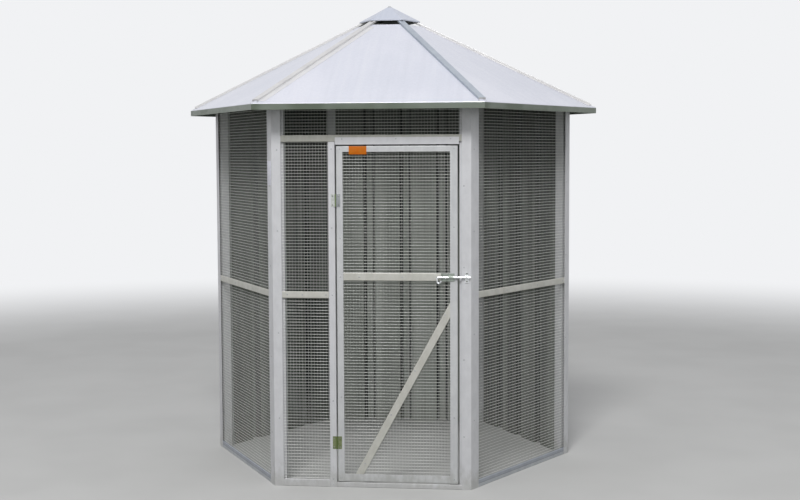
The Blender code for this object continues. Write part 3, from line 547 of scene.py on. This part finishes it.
def dress_nodes():
    """Gives every piece of the frame that stays in view its finish."""
    posts = folded_steel("galvanised_strip_posts", "#DCDCDF", "#D3D3D6")
    door = folded_steel("galvanised_strip_door", "#D5D6D7", "#C8C9CB")
    # transom rail darker and greener than the other strip: painted shade of the eave and painted
    # reflection of the ground
    head = folded_steel("galvanised_strip_transom_painted_eave_shade", "#BAB9B2", "#ABABA3")
    # warm greenish grey of the mid rails and brace: painted reflection of the ground
    rails = folded_steel("galvanised_strip_rails_painted_ground_reflection", "#D2D1CA", "#C4C3BB")
    foot = base_steel("galvanised_strip_foot")
    leaf = plated_zinc("passivated_zinc_hinge_frame_leaf", "#CDD0CC", "#B7BAB4", 0.34, "#7C8A68")
    door_leaf = plated_zinc(
        "passivated_zinc_hinge_door_leaf", "#A5A8AA", "#95989A", 0.38, "#7C8A68"
    )
    # lower hinge olive all over: painted reflection of the ground
    olive = plated_zinc(
        "olive_painted_reflection_zinc_lower_hinge", "#8C9470", "#737F55", 0.42, "#6A7A4A"
    )
    bright = plated_zinc("bright_zinc_bolt", "#E6E8E8", "#C9CCCD", 0.20)
    plate = plated_zinc("passivated_zinc_bolt_plate", "#A6ADA6", "#8E968D", 0.40)
    ridge = ridge_steel("aluminium_zinc_ridges", "#D5D4D3", "#CBCACA")
    cool_ridge = ridge_steel("aluminium_zinc_ridge_new_strip", "#AEB6BF", "#A4ABB6")
    cap = roof_steel("aluminium_zinc_cap", 0.0, "#C6CAD6", "#BDC2CF", edge=0.0)
    chosen = {}
    for face, name in enumerate(FACES):
        turn = face * math.pi / 3
        chosen[f"roof_sheet_{name}"] = roof_steel(f"aluminium_zinc_roof_{name}", turn)
        if name in WALL_INSIDE_PAINTED_SHADES:
            sheet = wall_steel(f"weathered_and_painted_shade_wall_sheet_{name}", turn, *WALL_INSIDE_PAINTED_SHADES[name])
            chosen[f"wall_sheet_{name}"] = sheet
    rules = (  # the first that starts a node's name gives its finish
        ("post_", posts), ("top_rail", posts), ("door_threshold", posts),
        ("base_rail_front_", foot), ("base_rail_front", posts), ("base_rail", foot),
        ("mid_rail", rails), ("transom_rail", head), ("door_mid_rail", rails),
        ("door_brace", rails), ("door_head_strip", posts), ("door_mullion", posts),
        ("ridge_flashing_front_right", cool_ridge), ("ridge_", ridge), ("vent_cap", cap),
        ("cap_bolt", bright), ("hinge_lower", olive), ("hinge_upper_frame", leaf),
        ("hinge_upper_door", door_leaf), ("bolt_plate", plate), ("bolt_", bright), ("door_", door),
    )
    for name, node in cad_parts.items():
        material = chosen.get(name)
        if material is None:
            material = next((steel for start, steel in rules if name.startswith(start)), door)
        node.data.materials.clear()
        node.data.materials.append(material)


# Rivets and screws

RIVET = [  # radius, height and star of a blind rivet's head, from its dimple outwards
    (0.5 * MM, 0.45 * MM, 0), (0.9 * MM, 0.95 * MM, 0), (1.6 * MM, 1.0 * MM, 0),
    (2.6 * MM, 0.65 * MM, 0), (3.2 * MM, 0.15 * MM, 0), (3.2 * MM, 0.0, 0),
]
SCREW = [  # pan head with a cross recess
    (0.4 * MM, 0.7 * MM, 0.0), (0.9 * MM, 0.8 * MM, 0.45), (1.2 * MM, 1.7 * MM, 0.40),
    (1.7 * MM, 1.75 * MM, 0.0), (2.6 * MM, 1.2 * MM, 0.0), (3.0 * MM, 0.4 * MM, 0.0),
    (3.0 * MM, 0.0, 0.0),
]

# Where rivets sit, as photographed: heights on the uprights, x along the rails
POST_LEFT_LEVELS = (0.290, 0.651, 1.079, 1.416)
POST_LEFT_INSET = 22.0 * MM  # from the corner to the rivets at a wall's left end
POST_RIGHT_LEVELS = (0.224, 0.547, 0.931, 1.266)
POST_RIGHT_INSET = 30.0 * MM
MULLION_LEVELS = (0.009, 0.034, 0.366, 0.813, 1.092, 1.419)
SIDE_RAIL_PLACES = (-0.36, -0.13, 0.13, 0.36)
FRONT_RAIL_PLACES = (-0.355, -0.290, -0.190)
TRANSOM_PLACE = -0.342
HEAD_STRIP_PLACES = (-0.119, 0.105, 0.330)
HEAD_STRIP_DROP = 7 * MM  # below the head strip's top
STILE_INSET = 15 * MM  # from the door's edges
STILE_FOOT = 16 * MM  # first rivet above a stile's foot
STILE_HEAD = 12 * MM  # last rivet below its top
BRACE_PLACES = ((0.3064, 0.7333), (0.1811, 0.4980), (0.0799, 0.3111), (-0.0309, 0.1032))
DOOR_RAIL_PLACES = (-0.05, 0.13)
LEAF_FRONT = -0.0018  # a hinge leaf's front, as a depth behind the wall's outer plane
PLATE_FRONT = -0.0023  # front of the bolt's plate and of its keeper's feet


def middle_height(name):
    """Height of a piece's middle."""
    low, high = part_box(name)
    return (low.z + high.z) / 2


def on_face(face, x, z, depth=0.0):
    """Place and outward normal on a wall: x along it, z up, depth behind its outer plane."""
    place = turned([[x, -WALL + depth, z]], face)[0]
    normal = turned([[0, -1, 0]], face)[0]
    return place, normal


def wall_rivets():
    """Rivets of the posts, rails, mullion and head strip on the fixed walls."""
    spots = []
    for face in range(6):
        for z in POST_LEFT_LEVELS:
            spots.append(on_face(face, -HALF + POST_LEFT_INSET, z))
        for z in POST_RIGHT_LEVELS:
            spots.append(on_face(face, HALF - POST_RIGHT_INSET, z))
    rail_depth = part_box("mid_rail_front")[0].y + WALL
    rail_z = middle_height("mid_rail_front")
    for face in (1, 5):
        for x in SIDE_RAIL_PLACES:
            spots.append(on_face(face, x, rail_z, rail_depth))
    for x in FRONT_RAIL_PLACES:
        spots.append(on_face(0, x, rail_z, rail_depth))
    spots.append(on_face(0, TRANSOM_PLACE, middle_height("transom_rail"), rail_depth))
    low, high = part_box("door_mullion")
    for z in MULLION_LEVELS:
        spots.append(on_face(0, (low.x + high.x) / 2, z))
    strip_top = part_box("door_head_strip")[1].z
    for x in HEAD_STRIP_PLACES:
        spots.append(on_face(0, x, strip_top - HEAD_STRIP_DROP))
    return spots


def door_rivets():
    """Rivets at the door's corners, along its stiles and on its brace and mid rail."""
    spots = []
    low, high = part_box("door_hinge_stile")
    foot, head = low.z + STILE_FOOT, high.z - STILE_HEAD
    left = low.x + STILE_INSET
    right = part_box("door_latch_stile")[1].x - STILE_INSET
    rail_z = middle_height("door_mid_rail")
    rail_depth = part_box("door_mid_rail")[0].y + WALL
    for z in (foot, 0.384, rail_z, 1.05, head):
        spots.append(on_face(0, left, z))
    for z in (foot, 0.303, 1.097, head):
        spots.append(on_face(0, right, z))
    for x, z in BRACE_PLACES:
        spots.append(on_face(0, x, z, rail_depth))
    for x in DOOR_RAIL_PLACES:
        spots.append(on_face(0, x, rail_z, rail_depth))
    return spots


def roof_rivets():
    """One rivet each side of every eave corner, on the slope just above the fold."""
    low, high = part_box("roof_sheet_front")
    eave, vent = -low.y, -high.y
    fascia_top = low.z + FASCIA
    tilt = math.atan((high.z - fascia_top) / (eave - vent))
    back = 9 * MM
    place_z = fascia_top + back * math.tan(tilt)
    spots = []
    for face in range(6):
        for side in (-1, 1):
            x = side * (eave * math.tan(math.pi / 6) - 24 * MM)
            place = turned([[x, -eave + back, place_z]], face)[0]
            normal = turned([[0, -math.sin(tilt), math.cos(tilt)]], face)[0]
            spots.append((place, normal))
    return spots


def hip_frame():
    """Peak of the roof, reach of a ridge flashing's lower end along its hip, and the hip's
    directions at azimuth 0: along it a = (cos t, 0, -sin t) and up from it (sin t, 0, cos t)."""
    low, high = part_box("ridge_flashing_right")
    tilt = math.atan(HIP_SLOPE)
    crest, foot = 6.0 * MM, 3.3 * MM  # channel's top above the hip and its feet below it
    peak = high.z + (low.x + foot * math.sin(tilt)) * HIP_SLOPE - crest * math.cos(tilt)
    reach = (high.x - crest * math.sin(tilt)) / math.cos(tilt)
    along = np.array([math.cos(tilt), 0.0, -math.sin(tilt)])
    upward = np.array([math.sin(tilt), 0.0, math.cos(tilt)])
    return peak, reach, along, upward


def plates(name, hips, outline, frame_axes, layers, material):
    """Thin plates on the hips k: P(k, i, c) = O + u_c A + v_c B + w_i N for the corners
    (u, v) of an outline, drawn in towards their middle by a share s_i at each layer
    (w_i, s_i), and turned about +Z by k * 60 degrees."""
    origin, first, second, outwards = frame_axes
    outline = np.array(outline, float)
    middle = outline.mean(0)
    rings = []
    for lift, share in layers:
        corners = middle + (outline - middle) * share
        rings.append(origin + corners[:, :1] * first + corners[:, 1:] * second + lift * outwards)
    points = np.array([turned(np.array(rings), hip) for hip in hips])
    piece = mesh_object(name, points, ring_faces(points.shape[:3]), 30)
    finish(piece, material, "frame")


def ridge_tabs(material):
    """Folded tabs that close the lower ends of the ridge flashings: their outline runs
    down both flanges to their feet and up to the hip between them."""
    low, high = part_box("ridge_flashing_right")
    peak, reach, along, upward = hip_frame()
    half = (high.y - low.y) / 2 - 0.1 * MM
    crest, foot, corner = 5.9 * MM, -3.2 * MM, 1.5 * MM
    outline = (
        (half, foot), (half, crest - corner), (half - corner, crest), (corner - half, crest),
        (-half, crest - corner), (-half, foot), (0.0, 0.35 * MM),
    )
    axes = (np.array([0.0, 0.0, peak]) + reach * along, np.array([0.0, 1.0, 0.0]), upward, along)
    layers = ((0.0, 1.0), (0.6 * MM, 1.0), (0.8 * MM, 0.97))
    plates("ridge_tabs", range(6), outline, axes, layers, material)


def ridge_legs(material):
    """Flat legs of the ridge flashings, 24 mm wide on the sheet each side of the channel;
    the newer strip on the front right hip has none.
    With n the sheet's normal at azimuth 30 degrees, a leg lies along the hip a and across
    it n x a, from just outside the vent to short of the eave, its outer corner cut off."""
    peak, reach, along, upward = hip_frame()
    slope = HIP_SLOPE / math.cos(math.pi / 6)
    tilt = math.atan(slope)
    start = 172.0 * MM / along[0]
    end = reach - 6.0 * MM
    inner, outer, cut = 14.5 * MM, 38.5 * MM, 9.0 * MM
    outline = (
        (start, inner), (end, inner), (end, outer - cut), (end - cut, outer), (start, outer)
    )
    layers = ((0.25 * MM, 1.0), (0.85 * MM, 1.0), (1.0 * MM, 0.9995))
    for side, name in ((1, "ridge_legs_left"), (-1, "ridge_legs_right")):
        azimuth = side * math.pi / 6
        normal = np.array(
            [
                math.sin(tilt) * math.cos(azimuth),
                math.sin(tilt) * math.sin(azimuth),
                math.cos(tilt),
            ]
        )
        across = np.cross(normal, along) * side
        axes = (np.array([0.0, 0.0, peak]), along, across, normal)
        plates(name, range(5), outline, axes, layers, material)


def hinge_screws(prefix):
    """Two screws on one leaf of each hinge, clear of the knuckles."""
    spots = []
    for level in ("upper", "lower"):
        low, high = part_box(f"hinge_{level}_{prefix}_leaf")
        x = high.x - 6.5 * MM if prefix == "door" else low.x + 6.5 * MM
        for z in (low.z + 8 * MM, high.z - 8 * MM):
            spots.append(on_face(0, x, z, LEAF_FRONT))
    return spots


def fasteners():
    """All rivets and screws, gathered by the body that they move with."""
    dull = rivet_aluminium("blind_rivet_aluminium")
    zinc = plated_zinc("screw_zinc", "#A2A59F", "#7F837C", 0.34)
    dark = plated_zinc("screw_zinc_weathered", "#6F736A", "#565A50", 0.45)
    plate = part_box("bolt_plate")
    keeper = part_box("bolt_keeper")
    rod_z = middle_height("bolt_keeper")
    keeper_x = (keeper[0].x + keeper[1].x) / 2
    plate_screws = []
    for x in (plate[0].x + 6 * MM, plate[0].x + 24 * MM):
        for z in (plate[0].z + 6 * MM, plate[1].z - 6 * MM):
            plate_screws.append(on_face(0, x, z, PLATE_FRONT))
    keeper_screws = [
        on_face(0, keeper_x, rod_z + side * 16.5 * MM, PLATE_FRONT) for side in (-1, 1)
    ]
    groups = (
        ("rivets_walls", wall_rivets(), RIVET, 12, dull, "frame"),
        ("rivets_door", door_rivets(), RIVET, 12, dull, "door"),
        ("rivets_eave", roof_rivets(), RIVET, 12, dull, "frame"),
        ("screws_hinges_frame", hinge_screws("frame"), SCREW, 24, zinc, "frame"),
        ("screws_hinges_door", hinge_screws("door"), SCREW, 24, zinc, "door"),
        ("screws_bolt_plate", plate_screws, SCREW, 24, zinc, "door"),
        ("screws_keeper", keeper_screws, SCREW, 24, dark, "frame"),
    )
    for name, spots, profile, sides, material, body in groups:
        places, normals = zip(*spots)
        finish(studs(name, places, normals, profile, sides), material, body)


# Labels, each with its middle's place along the wall and height, then its width and height
DOOR_LABEL = (-0.054, 1.4135, 0.074, 0.034)
POST_LABEL = (0.3845, 1.320, 0.047, 0.101)


def labels():
    """Two blank labels: one on the door's top rail, one on the left front post's side."""
    orange = label_vinyl("orange_vinyl", "#D06A08", "#C87414")
    white = label_vinyl("white_vinyl", "#E9E9F2", "#DADAE6")
    up = (0, 0, 1)
    x, z, width, height = DOOR_LABEL
    place = (x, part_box("door_top_rail")[0].y, z)
    label("label_door", place, (1, 0, 0), up, width, height, orange, "door")
    x, z, width, height = POST_LABEL
    place = turned([[x, -WALL, z]], 5)[0]
    across = turned([[1, 0, 0]], 5)[0]
    label("label_post", place, across, up, width, height, white, "frame")


# Stage: an overcast sky, brighter overhead than at the horizon, and one soft lamp high in
# front, so that the eave shades the top of the walls
SKY_LOW = 0.33
SKY_HIGH = 0.68
KEY_POWER = 720.0
KEY_PLACE = (0.0, -7.4, 8.7)
KEY_SIZE = 2.6
BACKDROP = "#F1F2F4"
FLOOR_REACH = 40.0
FADE_START, FADE_END = 4.0, 9.0  # distances over which the floor fades to the backdrop


def seen_rays(tree):
    """1 for rays of the camera and for mirrored and clear-glass ones, 0 for lighting."""
    path = add_node(tree, "ShaderNodeLightPath")
    total = path.outputs["Is Camera Ray"]
    for kind in ("Is Glossy Ray", "Is Transmission Ray"):
        terms = {0: total, 1: path.outputs[kind]}
        total = add_node(tree, "ShaderNodeMath", terms, operation="ADD").outputs["Value"]
    capped = add_node(tree, "ShaderNodeMath", {0: total, 1: 1.0}, operation="MINIMUM")
    return capped.outputs["Value"]


def stage():
    """Pale floor that fades into the backdrop, a sky and a soft lamp. Lighting rays see the
    floor as dark as the ground outdoors, and seen rays see it pale."""
    size = FLOOR_REACH
    mesh = bpy.data.meshes.new("studio_floor")
    corners = [(-size, -size, 0), (size, -size, 0), (size, size, 0), (-size, size, 0)]
    mesh.from_pydata(corners, [], [(0, 1, 2, 3)])
    floor = bpy.data.objects.new("studio_floor", mesh)
    bpy.context.scene.collection.objects.link(floor)
    material, tree, shader = new_material("studio_floor", Roughness=0.9, Specular_IOR_Level=0.1)
    place = object_place(tree)
    paper = noise(tree, place, (2.0, 2.0, 2.0), 2.0)
    shown = seen_rays(tree)
    colour = blend_colour(tree, span(tree, paper, 0.3, 0.7), "#BDBDBB", "#C1C1BF")
    colour = blend_colour(tree, shown, "#6C6F66", colour)
    tree.links.new(colour, shader.inputs["Base Color"])
    far = add_node(tree, "ShaderNodeVectorMath", {0: place}, operation="LENGTH").outputs["Value"]
    distance = span(tree, far, FADE_START, FADE_END)
    fade = add_node(tree, "ShaderNodeMath", {0: distance, 1: shown}, operation="MULTIPLY")
    backdrop = add_node(tree, "ShaderNodeEmission", {"Color": linear(BACKDROP), "Strength": 1.0})
    blend = add_node(tree, "ShaderNodeMixShader", {0: fade.outputs["Value"]})
    tree.links.new(shader.outputs["BSDF"], blend.inputs[1])
    tree.links.new(backdrop.outputs["Emission"], blend.inputs[2])
    tree.links.new(blend.outputs["Shader"], tree.nodes["Material Output"].inputs["Surface"])
    mesh.materials.append(material)
    world = bpy.data.worlds.new("studio_sky")
    world.use_nodes = True
    sky = world.node_tree
    for node in list(sky.nodes):
        sky.nodes.remove(node)
    rise = height_of(sky, add_node(sky, "ShaderNodeTexCoord").outputs["Generated"])
    overcast = span(sky, rise, 0.0, 0.9, SKY_LOW, SKY_HIGH)
    soft = add_node(
        sky, "ShaderNodeBackground", {"Color": linear("#F3F4F8"), "Strength": overcast}
    )
    shown = add_node(sky, "ShaderNodeBackground", {"Color": linear(BACKDROP), "Strength": 1.0})
    mixed = add_node(sky, "ShaderNodeMixShader", {0: seen_rays(sky)})
    sky.links.new(soft.outputs["Background"], mixed.inputs[1])
    sky.links.new(shown.outputs["Background"], mixed.inputs[2])
    output = add_node(sky, "ShaderNodeOutputWorld")
    sky.links.new(mixed.outputs["Shader"], output.inputs["Surface"])
    bpy.context.scene.world = world
    lamp("key_lamp", KEY_PLACE, (0.0, 0.0, 1.0), KEY_SIZE, KEY_POWER)


def lamp(name, place, aim, size, power):
    """Square soft lamp at a place, turned to its aim."""
    data = bpy.data.lights.new(name, "AREA")
    data.shape = "SQUARE"
    data.size = size
    data.energy = power
    obj = bpy.data.objects.new(name, data)
    obj.location = place
    obj.rotation_euler = (Vector(aim) - Vector(place)).to_track_quat("-Z", "Y").to_euler()
    bpy.context.scene.collection.objects.link(obj)


# Camera, fitted to the corners of the posts, rails, door and eaves in the photograph
CAMERA_PLACE = (0.6886, -6.0269, 1.4014)
CAMERA_YAW = -0.1066
CAMERA_PITCH = -0.0747
CAMERA_ROLL = -0.0042
FOCAL_PIXELS = 1296.0
PHOTO_WIDTH = 800
SENSOR = 36.0


def camera():
    """Camera whose axes are r cos k + u sin k, u cos k - r sin k and -f, with f the view
    direction of the yaw and pitch, r level to its right, u = r x f, and k the roll."""
    data = bpy.data.cameras.new("photo_camera")
    data.sensor_width = SENSOR
    data.lens = FOCAL_PIXELS * SENSOR / PHOTO_WIDTH
    data.clip_end = 200.0
    view = Vector(
        (
            math.sin(CAMERA_YAW) * math.cos(CAMERA_PITCH),
            math.cos(CAMERA_YAW) * math.cos(CAMERA_PITCH),
            math.sin(CAMERA_PITCH),
        )
    )
    right = Vector((math.cos(CAMERA_YAW), -math.sin(CAMERA_YAW), 0.0))
    up = right.cross(view)
    tilted = right * math.cos(CAMERA_ROLL) + up * math.sin(CAMERA_ROLL)
    upright = up * math.cos(CAMERA_ROLL) - right * math.sin(CAMERA_ROLL)
    axes = Matrix((tilted, upright, -view)).transposed()
    obj = bpy.data.objects.new("photo_camera", data)
    obj.matrix_world = Matrix.Translation(CAMERA_PLACE) @ axes.to_4x4()
    bpy.context.scene.collection.objects.link(obj)
    bpy.context.scene.camera = obj


def main():
    """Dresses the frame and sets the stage."""
    camera()
    dress_nodes()
    zincs = (
        # one zinc in two copies: near-white level wires are painted light, duller upright wires
        # painted shade
        wire_zinc("dipped_zinc_level_wire_painted_light", "#F0F1ED", "#FDFDFA", 0.05),
        wire_zinc("dipped_zinc_upright_wire_painted_shade", "#BBBEB7", "#CFD2CB", 0.15),
    )
    wall_rail = middle_height("mid_rail_front")
    door_rail = middle_height("door_mid_rail")
    wire_panel("mesh_front", 0, "frame", [wall_rail], 3, *zincs)
    wire_panel("mesh_transom", 0, "frame", [], 5, *zincs)
    wire_panel("mesh_front_right", 1, "frame", [wall_rail], 7, *zincs)
    wire_panel("mesh_front_left", 5, "frame", [wall_rail], 11, *zincs)
    wire_panel("door_mesh", 0, "door", [door_rail], 13, *zincs)
    fasteners()
    ridge_tabs(ridge_steel("aluminium_zinc_ridge_tabs", "#D0CFCE", "#C7C6C6"))
    ridge_legs(ridge_steel("aluminium_zinc_ridge_legs", "#DFDEDF", "#D7D6D8"))
    labels()
    stage()
    bpy.context.scene.view_settings.view_transform = "Standard"


main()
